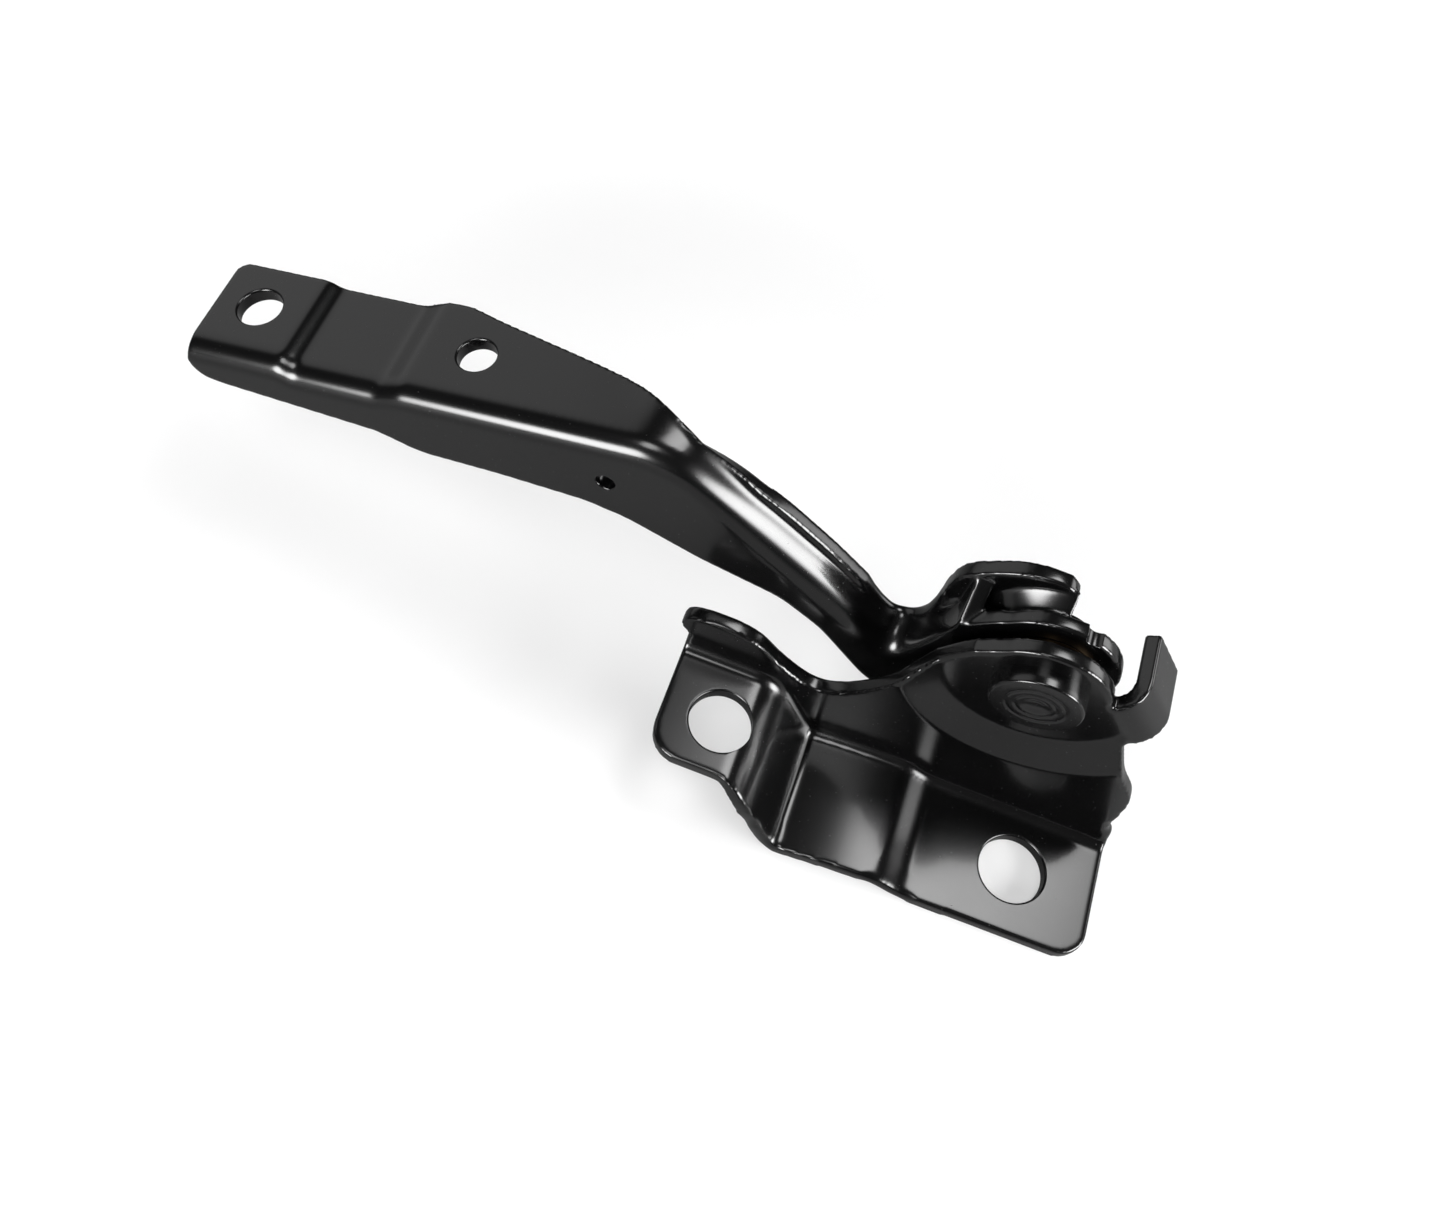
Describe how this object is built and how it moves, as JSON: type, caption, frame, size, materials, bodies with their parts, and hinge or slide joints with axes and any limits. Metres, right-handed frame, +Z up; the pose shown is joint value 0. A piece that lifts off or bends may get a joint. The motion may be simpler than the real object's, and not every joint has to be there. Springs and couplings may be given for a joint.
{
  "type": "bonnet hinge",
  "caption": "Stamped steel car bonnet hinge in black e-coat: a dished bolt-on body bracket and a swan-neck bonnet arm turning on a riveted pivot, with a bent stop tab.",
  "frame": {"origin": "centre of the rear body bolt hole on the mounting face under the rear pad", "axes": "+Z up out of the rear pad, +X from the bonnet tip towards the pivot, +Y along the pivot from the bracket to the arm"},
  "size_m": [0.1934, 0.0573, 0.0643],
  "materials": {
    "e_coat": "black electrophoretic coat, satin to gloss",
    "e_coat_arm": "black electrophoretic coat, satin to gloss",
    "bush_bronze": "plain bearing bronze, dull"
  },
  "bodies": {
    "bracket": {"body_bracket": "e_coat", "pivot_rivet": "e_coat", "spacer_washer": "e_coat", "backing_washer": "e_coat"},
    "arm": {"bonnet_arm": "e_coat_arm", "pivot_bush": "bush_bronze"}
  },
  "joints": [
    {"name": "bonnet_pivot", "type": "hinge", "parent": "bracket", "child": "arm", "pos_m": [-0.0135, 0.0206, 0.045], "axis": [0, 1, 0], "range_deg": [0, 81]}
  ]
}
